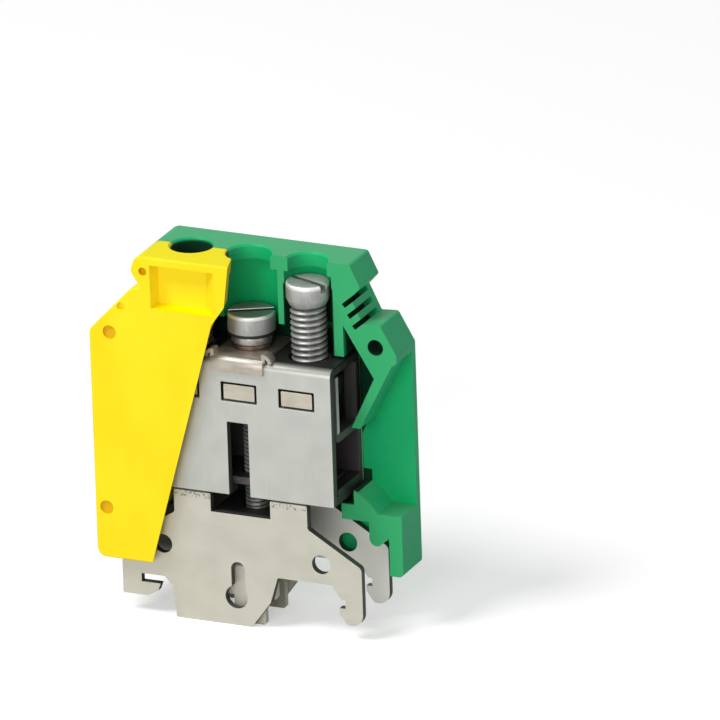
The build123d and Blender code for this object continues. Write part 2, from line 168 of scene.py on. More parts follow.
class Finish(Tree):  # a material under way, with its colour, roughness and bumps so far
    def __init__(self, name):
        self.material = bpy.data.materials.new(name)
        self.material.use_nodes = True
        super().__init__(self.material.node_tree)
        self.tree.nodes.clear()
        self.colour = self.rough = self.normal = None
        self.place = self.add("ShaderNodeTexCoord")["Object"]
        split = self.add("ShaderNodeSeparateXYZ", None, {"Vector": self.place})
        self.x, self.y, self.z = (split[axis] * 1000 for axis in "XYZ")    # mm
        facing = self.add("ShaderNodeNewGeometry")["Normal"]
        facing = self.add("ShaderNodeSeparateXYZ", None, {"Vector": facing})
        self.faceX, self.faceY, self.faceZ = (facing[axis] for axis in "XYZ")

    def noise(self, size, detail, stretch=(1, 1, 1), rough=0.5):  # size in mm
        scale = tuple(1000 * part for part in stretch)
        spot = self.add("ShaderNodeMapping", None, {"Vector": self.place, "Scale": scale})
        values = {"Vector": spot["Vector"], "Scale": 1 / size, "Detail": detail, "Roughness": rough}
        return self.add("ShaderNodeTexNoise", {"noise_dimensions": "3D"}, values)["Fac"]

    def mix(self, factor, first, second):
        values = {"Factor": factor, "A": first, "B": second}
        return self.add("ShaderNodeMix", {"data_type": "RGBA"}, values)["Result"]

    def lay(self, factor, colour):  # a screen colour over what is there
        self.colour = self.mix(factor, self.colour, srgb(*colour))

    def bump(self, height, strength, depth):  # depth in mm, on top of the bumps so far
        values = {"Height": height, "Strength": strength, "Distance": depth * mm}
        if self.normal is not None:
            values["Normal"] = self.normal
        self.normal = self.add("ShaderNodeBump", None, values)["Normal"]

    def close(self, values):
        surface = {"Base Color": self.colour, "Roughness": self.rough}
        if self.normal is not None:
            surface["Normal"] = self.normal
        shader = self.add("ShaderNodeBsdfPrincipled", None, {**surface, **values})["BSDF"]
        self.add("ShaderNodeOutputMaterial", None, {"Surface": shader})
        return self.material


def apart(first, second):  # a distance, from its two parts
    return (first * first + second * second).unary("SQRT")


def cornersOf(name):  # a solid's lowest and highest corner, in mm
    return [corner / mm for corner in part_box(name)]


# Moulded plastics
plasticLook = {                 # noises as size in mm, detail and stretch, bumps as strength and depth
    "flow": (9.0, 2.0, (1, 1, 0.5)),
    "flowBump": (0.12, 0.25),
    "grain": (0.16, 2.0),
    "grainRough": 0.08,
    "grainBump": (0.18, 0.02),
    "blotch": (2.6, 4.0),
    "blotchRough": 0.12,
    "facing": (0.6, 0.95),      # turn of a face to an axis, where painted light on top faces and painted shade on side faces start and are full
}


def plasticSurface(finish, look):
    p = plasticLook
    flow = finish.noise(*p["flow"])
    grain = finish.noise(*p["grain"])
    blotch = finish.noise(*p["blotch"])
    finish.rough = look["rough"] + p["blotchRough"] * (blotch - 0.5) + p["grainRough"] * (grain - 0.5)
    finish.bump(grain, *p["grainBump"])
    finish.bump(flow, *p["flowBump"])
    return flow, blotch


screwWays = {                   # painted shade round the screws, in mm
    "clamp": (("left_clamp_screw", -3.4), ("right_clamp_screw", 0.6)),   # how far under its top they start
    "radius": 4.3,
    "fade": 0.7,
    "behind": (3.0, 4.2),       # under the foot screw's top, on the wall behind it
    "lowest": 17.0,
    "halfWidth": 15.9,
    "front": 0.3,
}


def screwShade(finish, s):  # painted shade round the clamp screws, and on the wall behind the foot screw
    dim = []
    for name, drop in s["clamp"]:
        low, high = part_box(name)
        start = high.z / mm - drop
        inside = apart(finish.x - (low.x + high.x) / 2 / mm, finish.y) < s["radius"]
        dim.append(inside * finish.z.ramp(start, start - s["fade"]))
    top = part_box("foot_screw")[1].z / mm
    behind = finish.z.ramp(*(top - drop for drop in s["behind"])) * (finish.z > s["lowest"])
    behind = behind * (abs(finish.x) < s["halfWidth"]) * (finish.y > s["front"])
    return dim[0].most(dim[1]).most(behind)


greenLook = {                   # lengths in mm
    "colour": (50, 166, 104),
    "deep": (18, 174, 106),
    "deepFrom": (0.2, 1.2),     # behind the parting plane
    # a paler tone, laid in random blotches, and as painted light on top faces
    "pale": (72, 172, 118),
    "paleBlotch": (0.45, 0.8),
    "paleShare": 0.15,
    "paintedTopLight": 0.75,
    "side": (40, 156, 106),     # painted shade on faces that look along X
    "sideFlow": (0.2, 0.5),
    "rough": 0.46,
    "shine": 0.2,
    "shade": (2, 22, 14),       # painted shade deep in the hollows
    "shadeShare": 0.94,
    "shadeRough": 0.95,
    "skin": 0.4,                # at the back, which stays in the light
    "pocket": {                 # painted shade on the walls of the side pockets, and on the ledge under them
        "corners": ((15.9, 51.1), (20.9, 41.6), (16.8, 32.8)),   # X and Z, from the top down
        "margin": 0.8,
        "inward": 2.0,
        "fade": (0.3, 1.5),
        "drop": 8.0,            # from the lowest corner down to the ledge
        "ledge": (8.0, 0.6),    # from this X to this much past the lowest corner
        "ledgeFloor": 18.6,
        "front": 0.3,
    },
    "comb": {                   # painted shade in the slots across the marker groove
        "top": (17.4, 55.9),    # the groove's upper end, X and Z
        "run": (2.0, -4.2),     # from there to its lower end
        "turn": 40.0,           # degrees that the slots lean
        "wallFacing": 0.75,
        "floorFacing": 0.5,
        "floor": 0.9,
        "depth": (0.05, 2.6),
        "past": (0.6, 0.8),     # beyond the upper and the lower end
        "front": 0.05,
    },
    "hole": {                   # painted shade in the hole for a peg of the cover
        "middle": (21.4, 48.0),
        "radius": 1.42,
        "front": 0.12,
    },
}


def pocketShade(finish, s):
    (x1, z1), (x2, z2), (x3, z3) = s["corners"]
    x, y, z = abs(finish.x), finish.y, finish.z
    level = z3 - s["drop"]
    upper = (x - x1) * (z1 - z2) + (z - z1) * (x2 - x1) < s["margin"]
    lower = (x - x3) * (z2 - z3) - (z - z3) * (x2 - x3) < s["margin"]
    pocket = upper * lower * (x > x1 - s["inward"]) * y.ramp(*s["fade"]) * (z > level)
    start, past = s["ledge"]
    ledge = (x < x3 + past) * (x > start) * (z < level) * (z > s["ledgeFloor"]) * (y > s["front"])
    return pocket.most(ledge)


def combShade(finish, s):
    x, z = finish.x - s["top"][0], finish.z - s["top"][1]
    runX, runZ = s["run"]
    run = math.hypot(runX, runZ)
    depth = (x * runZ - z * runX) / run
    along = (x * runX + z * runZ) / run
    turn = math.radians(s["turn"])
    wall = abs(finish.faceZ * math.cos(turn) - finish.faceX * math.sin(turn)) > s["wallFacing"]
    floor = (depth > s["floor"]) * (abs(finish.faceY) < s["floorFacing"])
    within = (along > -s["past"][0]) * (along < run + s["past"][1])
    within = within * (depth > s["depth"][0]) * (depth < s["depth"][1])
    return wall.most(floor) * within * (finish.y > s["front"])


def holeShade(finish, s):
    x, z = s["middle"]
    return (apart(finish.x - x, finish.z - z) < s["radius"]) * (finish.y > s["front"])


def greenPlastic(look):
    finish = Finish("green moulded plastic")
    flow, blotch = plasticSurface(finish, look)
    facing = plasticLook["facing"]
    finish.colour = srgb(*look["colour"])
    finish.lay(finish.y.ramp(*look["deepFrom"]), look["deep"])
    finish.lay(blotch.ramp(*look["paleBlotch"]) * look["paleShare"], look["pale"])
    # painted light: top faces paler
    finish.lay(finish.faceZ.ramp(*facing) * look["paintedTopLight"], look["pale"])
    # painted shade on faces that look along X, patchy with the flow noise
    finish.lay(finish.faceX.ramp(*facing) * flow.ramp(*look["sideFlow"]), look["side"])
    # painted shade round the screws, in the side pockets, in the comb's slots and in the peg hole, made
    # rough there
    dim = screwShade(finish, screwWays).most(pocketShade(finish, look["pocket"]))
    dim = dim.most(combShade(finish, look["comb"])).most(holeShade(finish, look["hole"]))
    dim = dim * (finish.y < cornersOf("green_housing")[1].y - look["skin"])
    finish.lay(dim * look["shadeShare"], look["shade"])
    finish.rough = finish.rough.most(dim * look["shadeRough"])
    return finish.close({"Specular IOR Level": look["shine"]})


yellowLook = {                  # lengths in mm
    "colour": (250, 226, 36),
    "deep": (247, 217, 28),
    "deepFlow": (0.3, 0.7),
    # painted light on top faces
    "pale": (255, 240, 0),
    "rough": 0.44,
    "shine": 0.07,
    "cut": (214, 172, 34),      # painted shade on the face that the slanting cut leaves
    "cutShadeShare": 0.85,
    "cutFacing": 0.55,
    "cutKnee": (-3.5, 51.4),    # X and Z
    "cutLean": (0.2821, 0.28),    # how X grows with Z below the knee, and with Y
    "cutPast": 1.2,
    # painted shade in the shallow dimples
    "dimple": (212, 150, 18),
    "dimpleShadeShare": 0.7,
    "dimples": ((-21.4, 48.0, 1.5), (-23.0, 18.0, 1.5), (-15.2, 59.0, 0.9)),   # X, Z and radius
    "dimpleDepth": (-7.5, -6.0),  # Y
    "shade": (26, 26, 8),
    "shadeShare": 0.92,
    "skin": -6.0,               # Y before which the face stays in the light
    "bore": (3.9, 61.3),        # radius and top of the middle channel, where shade is painted
}


def yellowPlastic(look):
    finish = Finish("yellow moulded plastic")
    flow, _ = plasticSurface(finish, look)
    finish.colour = srgb(*look["deep"])
    finish.lay(flow.ramp(*look["deepFlow"]), look["colour"])
    # painted light: top faces paler
    finish.lay(finish.faceZ.ramp(*plasticLook["facing"]), look["pale"])
    # painted shade on the face that the slanting cut leaves
    (kneeX, kneeZ), (leanZ, leanY) = look["cutKnee"], look["cutLean"]
    line = ((finish.z - kneeZ) * leanZ).least(0.0) + kneeX
    cutShade = (finish.faceX > look["cutFacing"]) * (finish.x - finish.y * leanY > line + look["cutPast"])
    finish.lay(cutShade * look["cutShadeShare"], look["cut"])
    # painted shade in the shallow dimples
    front, back = look["dimpleDepth"]
    for x, z, radius in look["dimples"]:
        inside = (apart(finish.x - x, finish.z - z) < radius) * (finish.y < back) * (finish.y > front)
        finish.lay(inside * look["dimpleShadeShare"], look["dimple"])
    # painted shade round the screws and in the middle channel
    radius, top = look["bore"]
    bore = (apart(finish.x, finish.y) < radius) * (finish.z < top)
    dim = (screwShade(finish, screwWays) * (finish.y > look["skin"])).most(bore)
    finish.lay(dim * look["shadeShare"], look["shade"])
    return finish.close({"Specular IOR Level": look["shine"]})


# Metals
metalLooks = {
    "plated_steel": {"colour": (197, 199, 192), "dark": (191, 193, 187), "pale": (208, 210, 205),
                     "rough": 0.44, "metal": 0.6, "brush": (1, 1, 0.08)},
    "foot_steel": {"colour": (203, 201, 188), "dark": (198, 196, 183), "pale": (212, 210, 199),
                   "rough": 0.46, "metal": 0.6, "brush": (0.1, 1, 1)},
    "screw_steel": {"colour": (190, 190, 186), "dark": (166, 167, 164), "pale": (214, 214, 210),
                    "rough": 0.46, "metal": 0.7, "brush": (1, 1, 0.15)},
    "washer_steel": {"colour": (196, 196, 193), "dark": (170, 169, 166), "pale": (222, 221, 218),
                     "rough": 0.34, "metal": 0.85, "brush": (1, 1, 0.2)},
    "brown_washer": {"colour": (128, 114, 100), "dark": (92, 78, 66), "pale": (166, 152, 138),
                     "rough": 0.36, "metal": 0.8, "brush": (1, 1, 0.2)},
    "bridge_plating": {"colour": (190, 182, 170), "dark": (170, 158, 144), "pale": (216, 211, 200),
                       "rough": 0.38, "metal": 0.6, "brush": (0.3, 1, 1)},
    "nut_brass": {"colour": (200, 195, 179), "dark": (188, 181, 163), "pale": (220, 216, 204),
                  "rough": 0.42, "metal": 0.6, "brush": (0.2, 1, 1)},
    "tinned_bar": {"colour": (92, 84, 88), "dark": (66, 58, 63), "pale": (140, 136, 138),
                   "rough": 0.36, "metal": 0.9, "brush": (0.2, 1, 1)},
}
metalGrain = {                  # noises as size in mm and detail, bumps as strength and depth
    "cloud": (5.0, 4.0),
    "cloudRange": (0.35, 0.65),
    "cloudRough": 0.16,
    "brush": (0.35, 4.0),
    "brushGrit": 0.6,
    "brushRange": (0.5, 0.85),
    "brushPale": 0.5,
    "brushRough": 0.2,
    "brushBump": (0.2, 0.03),
    "pits": (0.5, 2.0),
    "pitsBump": (0.15, 0.04),
    "shine": 0.3,
}


def metal(name, look):
    finish = Finish(name.replace("_", " "))
    g = metalGrain
    cloud = finish.noise(*g["cloud"])
    brush = finish.noise(*g["brush"], look["brush"], g["brushGrit"])
    pits = finish.noise(*g["pits"])
    finish.colour = srgb(*look["dark"])
    finish.lay(cloud.ramp(*g["cloudRange"]), look["colour"])
    finish.lay(brush.ramp(*g["brushRange"]) * g["brushPale"], look["pale"])
    finish.rough = look["rough"] + g["cloudRough"] * (cloud - 0.5) + g["brushRough"] * (brush - 0.5)
    finish.bump(brush, *g["brushBump"])
    finish.bump(pits, *g["pitsBump"])
    return finish


def closeMetal(finish, look, dim=0.0):  # less metallic where shade is painted
    return finish.close({"Metallic": (1 - dim) * look["metal"], "Specular IOR Level": metalGrain["shine"]})


def plainMetal(name):
    return closeMetal(metal(name, metalLooks[name]), metalLooks[name])


# Folded sheets, with painted shade on inner faces, folds and sheared edges
sheetLook = {                   # here and below, lengths in mm
    "inner": (16, 15, 16),      # painted shade on inner faces
    "innerPast": 0.06,          # how far the painted shade reaches into the sheet
    # painted shade on folds and faces that turn up
    "fold": (136, 135, 130),
    "foldFacing": (0.1, 0.5),
    # painted shade on sheared edges
    "edge": (46, 47, 45),
    "edgeShadeShare": 0.9,
}
cageLook = {
    "sheet": 1.4,
    "dimShare": 0.95,
    "lower": (46, 38, 43),      # painted shade on inner faces below the clamp pads
    "lowerFade": 0.5,
    "top": 0.3,                 # depth of the top's face
    "topFade": (0.7, 1.7),      # where painted shade on the top starts and is full, behind the front
    "foldDepth": 1.5,
    "foldShadeShare": 0.9,
    "edgeFacing": 0.8,
    "edgeBack": 0.4,            # at the back, where no shade is painted on the edge
}


def cageMetal(look):
    finish = metal("plated_steel", metalLooks["plated_steel"])
    low, high = cornersOf("cage")
    padLevel = cornersOf("right_pressure_pad")[0].z
    within = sheetLook["innerPast"] - look["sheet"]
    # painted shade on the inner faces, on the top behind its front, on the folds and on faces that look
    # along X
    inner = (abs(finish.y) < high.y + within) * (finish.z < high.z + within)
    top = (finish.z > high.z - look["top"]) * finish.y.ramp(*(low.y + back for back in look["topFade"]))
    fold = finish.faceZ.ramp(*sheetLook["foldFacing"]) * (finish.z > high.z - look["foldDepth"])
    edge = (abs(finish.faceX) > look["edgeFacing"]) * (finish.y < high.y - look["edgeBack"])
    finish.lay(fold * look["foldShadeShare"], sheetLook["fold"])
    finish.lay(edge * sheetLook["edgeShadeShare"], sheetLook["edge"])
    dim = inner.most(top) * look["dimShare"]
    upper = finish.z.ramp(padLevel - look["lowerFade"], padLevel + look["lowerFade"])
    shade = finish.mix(upper, srgb(*look["lower"]), srgb(*sheetLook["inner"]))
    finish.colour = finish.mix(dim, finish.colour, shade)
    return closeMetal(finish, metalLooks["plated_steel"], dim)


padLook = {
    "dimShare": 0.9,
    "seenFacing": 0.7,
    "seen": (1.2, 1.5),         # the face left without painted shade: within this far behind the front edge, and higher than this above the lowest
}


def padMetal(look):
    finish = metal("pad_steel", metalLooks["plated_steel"])
    low, _ = cornersOf("right_pressure_pad")
    back, rise = look["seen"]
    seen = (finish.faceX > look["seenFacing"]) * (finish.y < low.y + back) * (finish.z > low.z + rise)
    # painted shade on all but the outward face at the front
    dim = (1 - seen) * look["dimShare"]
    finish.lay(dim, sheetLook["inner"])
    return closeMetal(finish, metalLooks["plated_steel"], dim)


footLook = {
    "sheet": 1.2,
    "dimShare": 0.92,
    "level": (5.0, 8.0),        # where painted shade on the inner faces starts and is full
    "rear": (236, 236, 228),    # painted light on the back sheet's face that looks out past the front one
    "rearFrom": 7.0,
    "rearFacing": 0.5,
    "rearPast": 0.4,
    "edgeFacing": 0.4,
    "crumb": (0.4, 3.0),        # scuffs near the top, as size and detail
    "crumbRange": (0.52, 0.6),
    "crumbBand": (1.3, 0.3),    # under the top
    "crumbShare": 0.5,
    "line": (30, 30, 28),       # painted shade along the joint under the housing
    "lineDepth": 0.28,
    "lineShadeShare": 0.9,
}


def footMetal(look):
    finish = metal("foot_steel", metalLooks["foot_steel"])
    _, high = cornersOf("rail_foot")
    reach = high.y - look["sheet"] + sheetLook["innerPast"]
    # painted light on the back sheet's inner face
    rear = (finish.y > reach - look["rearPast"]) * (finish.faceY < -look["rearFacing"])
    rear = rear * (finish.x > look["rearFrom"])
    # painted shade on the inner faces
    dim = (abs(finish.y) < reach) * (1 - rear) * finish.z.ramp(*look["level"]) * look["dimShare"]
    # painted shade on faces that don't look along Y, such as the sheet's edges
    edge = abs(finish.faceY) < look["edgeFacing"]
    deepest, shallowest = look["crumbBand"]
    band = (finish.z > high.z - deepest) * (finish.z < high.z - shallowest)
    crumbs = finish.noise(*look["crumb"]).ramp(*look["crumbRange"]) * band
    finish.lay(rear, look["rear"])
    finish.lay(edge * sheetLook["edgeShadeShare"], sheetLook["edge"])
    finish.lay(crumbs * look["crumbShare"], sheetLook["edge"])
    finish.lay(dim, sheetLook["inner"])
    # painted shade along the joint under the housing
    finish.lay((finish.z > high.z - look["lineDepth"]) * look["lineShadeShare"], look["line"])
    return closeMetal(finish, metalLooks["foot_steel"], dim)


nutLook = {
    "dimShare": 0.92,
    "seenFacing": 0.5,
    "seenDepth": 0.25,
}


def nutBrass(look):
    finish = metal("nut_brass", metalLooks["nut_brass"])
    _, high = cornersOf("nut_bar")
    # painted shade on all but the tabs' front faces
    seen = (abs(finish.faceY) > look["seenFacing"]) * (abs(finish.y) > high.y - look["seenDepth"])
    dim = (1 - seen) * look["dimShare"]
    finish.lay(dim, sheetLook["inner"])
    return closeMetal(finish, metalLooks["nut_brass"], dim)


bridgeLook = {
    "dimShare": 0.78,
    "dimAbove": 0.7,            # painted shade on top faces lower than this over the cage's top
    "dimFade": (-3.0, -1.6),    # Y over which the painted shade fades in
    "dimFacing": 0.5,
    "foldTop": 0.97,            # facing past which it is no longer a fold
    "foldShadeShare": 0.6,
}


def bridgeMetal(look):
    finish = metal("bridge_plating", metalLooks["bridge_plating"])
    level = cornersOf("cage")[1].z + look["dimAbove"]
    # painted shade on the top behind the washer
    dim = (finish.z < level) * (finish.faceZ > look["dimFacing"]) * finish.y.ramp(*look["dimFade"])
    dim = dim * look["dimShare"]
    # painted shade on the folds
    fold = finish.faceZ.ramp(*sheetLook["foldFacing"]) * (finish.faceZ < look["foldTop"])
    finish.lay(fold * look["foldShadeShare"], sheetLook["fold"])
    finish.lay(dim, sheetLook["inner"])
    return closeMetal(finish, metalLooks["bridge_plating"], dim)


materials = {
    "green_plastic": greenPlastic(greenLook),
    "yellow_plastic": yellowPlastic(yellowLook),
    "plated_steel": cageMetal(cageLook),
    "pad_steel": padMetal(padLook),
    "foot_steel": footMetal(footLook),
    "press_steel": plainMetal("foot_steel"),
    "nut_brass": nutBrass(nutLook),
    "bridge_plating": bridgeMetal(bridgeLook),
    "screw_steel": plainMetal("screw_steel"),
    "washer_steel": plainMetal("washer_steel"),
    "brown_washer": plainMetal("brown_washer"),
    "tinned_bar": plainMetal("tinned_bar"),
}
nodeFinish = {
    "green_housing": "green_plastic",
    "yellow_cover": "yellow_plastic",
    "cage": "plated_steel",
    "nut_bar": "nut_brass",
    "contact_bar": "tinned_bar",
    "left_pressure_pad": "pad_steel",
    "right_pressure_pad": "pad_steel",
    "left_clamp_screw": "screw_steel",
    "right_clamp_screw": "screw_steel",
    "foot_screw": "screw_steel",
    "lock_washer": "washer_steel",
    "plain_washer": "brown_washer",
    "bridge_plate": "bridge_plating",
    "rail_foot": "foot_steel",
    "foot_nut": "screw_steel",
    "rail_press": "press_steel",
}
for name, finishName in nodeFinish.items():
    mesh = nodes[name].data
    mesh.materials.clear()
    mesh.materials.append(materials[finishName])
print("finishes made:", len(materials))


# Softly rounded edges on the moulded and pressed pieces
edgeRounds = {                  # width in mm
    "green_housing": 0.12,
    "yellow_cover": 0.12,
    "cage": 0.1,
    "nut_bar": 0.12,
    "contact_bar": 0.06,
    "left_pressure_pad": 0.1,
    "right_pressure_pad": 0.1,
    "bridge_plate": 0.08,
    "rail_foot": 0.12,
    "rail_press": 0.1,
    "plain_washer": 0.05,
    "foot_nut": 0.1,
}
edgeAngle = 35.0                # degrees, edges sharper than this are rounded


def roundEdges(obj, width, angle):  # width in mm, angle in degrees
    bevel = obj.modifiers.new("round edges", "BEVEL")
    bevel.width = width * mm
    bevel.segments = 2
    bevel.limit_method = "ANGLE"
    bevel.angle_limit = math.radians(angle)
    return bevel


for name, width in edgeRounds.items():
    weld = nodes[name].modifiers.new("join corners", "WELD")
    weld.merge_threshold = mergeDistance
    roundEdges(nodes[name], width, edgeAngle).miter_outer = "MITER_ARC"
print("edges rounded:", len(edgeRounds))


# Threads, made by geometry nodes from a pitch and two diameters
threadShape = {                 # shares of half a pitch, the rest is the crest
    "root": 0.14,
    "flank": 0.72,
}


def threadTree(name, shape):
    group = bpy.data.node_groups.new(name, "GeometryNodeTree")
    for label in ("Outer Radius", "Core Radius", "Tip Radius", "Pitch", "Low", "High", "Lead"):
        group.interface.new_socket(label, in_out="INPUT", socket_type="NodeSocketFloat")
    for label in ("Segments", "Rows"):
        group.interface.new_socket(label, in_out="INPUT", socket_type="NodeSocketInt")
    group.interface.new_socket("Finish", in_out="INPUT", socket_type="NodeSocketMaterial")
    group.interface.new_socket("Geometry", in_out="OUTPUT", socket_type="NodeSocketGeometry")
    tree = Tree(group)
    given = tree.add("NodeGroupInput")
    length = given["High"] - given["Low"]
    grid = tree.add("GeometryNodeMeshGrid", None, {
        "Size X": math.tau, "Size Y": length,
        "Vertices X": given["Segments"] + 1, "Vertices Y": given["Rows"]})["Mesh"]
    spot = tree.add("GeometryNodeInputPosition")["Position"]
    spot = tree.add("ShaderNodeSeparateXYZ", None, {"Vector": spot})
    angle = spot["X"] + math.pi
    rise = spot["Y"] + length * 0.5
    turn = (rise / given["Pitch"] - angle / math.tau).unary("FRACT")
    wave = 1 - abs(turn * 2 - 1)
    crest = ((wave - shape["root"]) / shape["flank"]).most(0.0).least(1.0)
    fromTip = (rise / given["Lead"]).least(1.0)
    toHead = ((length - rise) / given["Pitch"]).least(1.0)
    depth = (given["Outer Radius"] - given["Core Radius"]) * crest * fromTip * toHead
    core = given["Tip Radius"] + (given["Core Radius"] - given["Tip Radius"]) * fromTip
    radius = core + depth
    place = tree.add("ShaderNodeCombineXYZ", None, {
        "X": radius * angle.unary("COSINE"),
        "Y": radius * angle.unary("SINE"),
        "Z": given["Low"] + rise})["Vector"]
    wall = tree.add("GeometryNodeSetPosition", None, {"Geometry": grid, "Position": place})["Geometry"]
    ends = []
    for size, level in (("Tip Radius", "Low"), ("Core Radius", "High")):
        values = {"Vertices": given["Segments"], "Radius": given[size]}
        disc = tree.add("GeometryNodeMeshCircle", {"fill_type": "NGON"}, values)["Mesh"]
        lift = tree.add("ShaderNodeCombineXYZ", None, {"Z": given[level]})["Vector"]
        values = {"Geometry": disc, "Translation": lift}
        ends.append(tree.add("GeometryNodeTransform", None, values)["Geometry"])
    shell = tree.add("GeometryNodeJoinGeometry", None, {"Geometry": [wall, *ends]})["Geometry"]
    values = {"Geometry": shell, "Distance": mergeDistance}
    shell = tree.add("GeometryNodeMergeByDistance", None, values)["Geometry"]
    shell = tree.add("GeometryNodeRealizeInstances", None, {"Geometry": shell})["Geometry"]
    values = {"Geometry": shell, "Material": given["Finish"]}
    shell = tree.add("GeometryNodeSetMaterial", None, values)["Geometry"]
    tree.add("NodeGroupOutput", None, {"Geometry": shell})
    return group


threads = threadTree("screw thread", threadShape)
print("thread tree made")


# Meshes, made by trees, turned, cut and joined

def evaluated(obj):  # the mesh that an object's modifiers make
    bpy.context.view_layer.update()
    graph = bpy.context.evaluated_depsgraph_get()
    real = obj.evaluated_get(graph)
    return bpy.data.meshes.new_from_object(real, preserve_all_data_layers=True, depsgraph=graph)


def bareObject(name, mesh=None):
    obj = bpy.data.objects.new(name, mesh or bpy.data.meshes.new(name))
    scene.collection.objects.link(obj)
    return obj


def grown(name, tree, inputs):  # a mesh made by a geometry tree
    obj = bareObject(name)
    modifier = obj.modifiers.new("tree", "NODES")
    modifier.node_group = tree
    for item in tree.interface.items_tree:
        if item.in_out == "INPUT" and item.name in inputs:
            modifier[item.identifier] = inputs[item.name]
    mesh = evaluated(obj)
    bpy.data.objects.remove(obj)
    return mesh


def outward(mesh):  # closed shells, doubles merged, faces pointing out
    work = bmesh.new()
    work.from_mesh(mesh)
    bmesh.ops.remove_doubles(work, verts=work.verts, dist=mergeDistance)
    bmesh.ops.recalc_face_normals(work, faces=work.faces)
    work.to_mesh(mesh)
    work.free()


def smooth(mesh, angle):  # smooth but for edges sharper than the angle
    mesh.polygons.foreach_set("use_smooth", [True] * len(mesh.polygons))
    mesh.set_sharp_from_angle(angle=math.radians(angle))


def arc(x, z, radius, start, end, steps):  # points on an arc, angles in degrees
    turns = [math.radians(start + (end - start) * i / steps) for i in range(steps + 1)]
    return [(x + radius * math.cos(t), z + radius * math.sin(t)) for t in turns]


def turned(name, profile, segments=64, closed=False):  # a body of revolution from (radius, height) points
    work = bmesh.new()
    rings = []
    for radius, height in profile:
        if radius == 0:
            rings.append([work.verts.new((0, 0, height))])
            continue
        steps = (math.tau * i / segments for i in range(segments))
        rings.append([work.verts.new((radius * math.cos(t), radius * math.sin(t), height)) for t in steps])
    for low, high in zip(rings, rings[1:] + (rings[:1] if closed else [])):
        for i in range(segments):
            j = (i + 1) % segments
            corners = [low[i % len(low)], low[j % len(low)], high[j % len(high)], high[i % len(high)]]
            work.faces.new(list(dict.fromkeys(corners)))
    bmesh.ops.scale(work, vec=(mm, mm, mm), verts=work.verts)
    mesh = bpy.data.meshes.new(name)
    work.to_mesh(mesh)
    work.free()
    outward(mesh)
    return mesh


def brick(name, size, place, turn, tilt=0.0):  # a cutter, sizes in mm and angles in degrees
    work = bmesh.new()
    bmesh.ops.create_cube(work, size=1.0)
    bmesh.ops.scale(work, vec=[s * mm for s in size], verts=work.verts)
    spin = Matrix.Rotation(math.radians(turn), 4, "Z") @ Matrix.Rotation(math.radians(tilt), 4, "X")
    spin = Matrix.Translation(Vector(place) * mm) @ spin
    bmesh.ops.transform(work, matrix=spin, verts=work.verts)
    mesh = bpy.data.meshes.new(name)
    work.to_mesh(mesh)
    work.free()
    return mesh


def cutAway(obj, name, cutter):
    cut = obj.modifiers.new(name, "BOOLEAN")
    cut.operation = "DIFFERENCE"
    cut.solver = "EXACT"
    cut.object = cutter


def joinMeshes(name, meshes):
    work = bmesh.new()
    for mesh in meshes:
        work.from_mesh(mesh)
    joined = bpy.data.meshes.new(name)
    work.to_mesh(joined)
    work.free()
    return joined


# Screws with cut slots, rounded heads and real threads
screwSettings = {               # sizes in mm
    "clamp": {
        "pitch": 1.0,
        "outer": 5.9,
        "core": 4.9,
        "tip": 4.0,
        "lead": 1.2,            # length over which the thread starts
        "headHeight": 2.7,
        "taper": 1.0,           # cone under the head
        "edge": 0.45,
        "slotWidth": 1.1,
        "slotDepth": 1.2,
        "slotTurn": -20.0,
        # shares of painted shade in the slot, the seat band and on the top
        "slotDark": 0.6,
        "seat": 0.0,
        "seatDark": 0.0,
        "topDark": 0.1,
    },
    "foot": {
        "pitch": 0.7,
        "outer": 3.9,
        "core": 3.2,
        "tip": 2.6,
        "lead": 0.8,
        "headHeight": 3.7,
        "taper": 0.0,
        "edge": 0.35,
        "slotWidth": 1.1,
        "slotDepth": 1.5,
        "slotTurn": 28.0,
        # shares of painted shade in the slot, the seat band and on the top
        "slotDark": 0.95,
        "seat": 0.6,            # painted shade in a band low on the head
        "seatDark": 0.95,
        "topDark": 0.4,
    },
    "segments": 40,
    "rowsPerTurn": 9,
    "intoHead": 0.4,            # the thread's end, hidden in the head
    "shoulder": ((-0.12, -0.2), (0.0, 0.1)),   # the cone's upper end, from the head's lower rim
    "collar": 0.1,
    "slotEdge": 0.06,
    "slotAngle": 50.0,
    "smooth": 34.0,
    "paintedShadeAndHighlight": {
        "dark": (38, 40, 40),       # painted shade in the slot, the thread's roots, the seat band and on the top, and a darker tone over the thread
        "shank": 0.22,
        "root": 0.82,
        "rootFade": 0.12,
        "slotPast": 0.03,
        "slotTop": 0.12,
        "slotFloor": 0.1,
        "seatFloor": 0.05,
        "topFacing": (0.8, 0.97),
        "rimHighlight": (232, 232, 230),    # painted highlight on the rim of the head
        "rimHighlightShare": 0.8,
        "rimHighlightDepth": 0.25,
        "rimHighlightFacing": (0.05, 0.9),
    },
}


